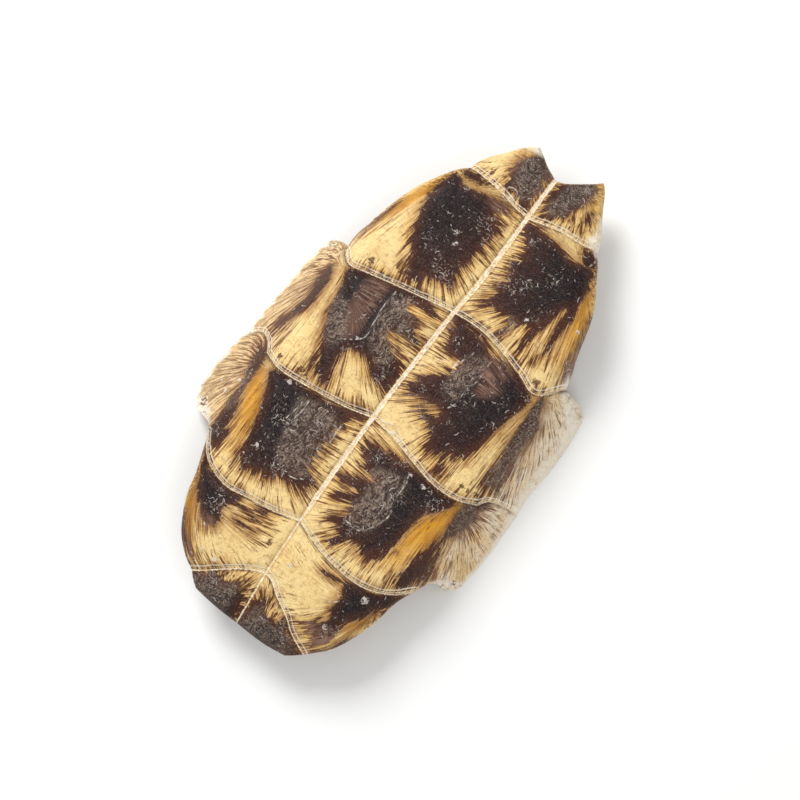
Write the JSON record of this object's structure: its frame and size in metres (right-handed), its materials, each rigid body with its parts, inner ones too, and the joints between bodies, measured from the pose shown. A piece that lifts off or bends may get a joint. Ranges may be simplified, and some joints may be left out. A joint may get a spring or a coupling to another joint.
{
  "type": "dried tortoise plastron",
  "caption": "Dried belly shell of a tortoise: domed horn scutes on bone, rounded throat lobe, forked tail lobe and two bridge walls sawn off flat, on which it stands.",
  "frame": {"origin": "in plan the centre of the bounding box, in height the plane of the two sawn edges that the shell stands on", "axes": "+Y along the midline towards the tail notch, -Y towards the throat, +X across to the shell's side that lies right of the midline in a view from above with the tail up, +Z out of the outer face"},
  "size_m": [0.1206, 0.2038, 0.0236],
  "materials": {
    "horn": "dried horn scutes, near-black brown with combed streaks running out to amber and cream, satin",
    "bone": "bare dried bone of the inner face and the sawn edges, matt cream"
  },
  "bodies": {
    "root": {"plastron": "horn"}
  },
  "joints": []
}
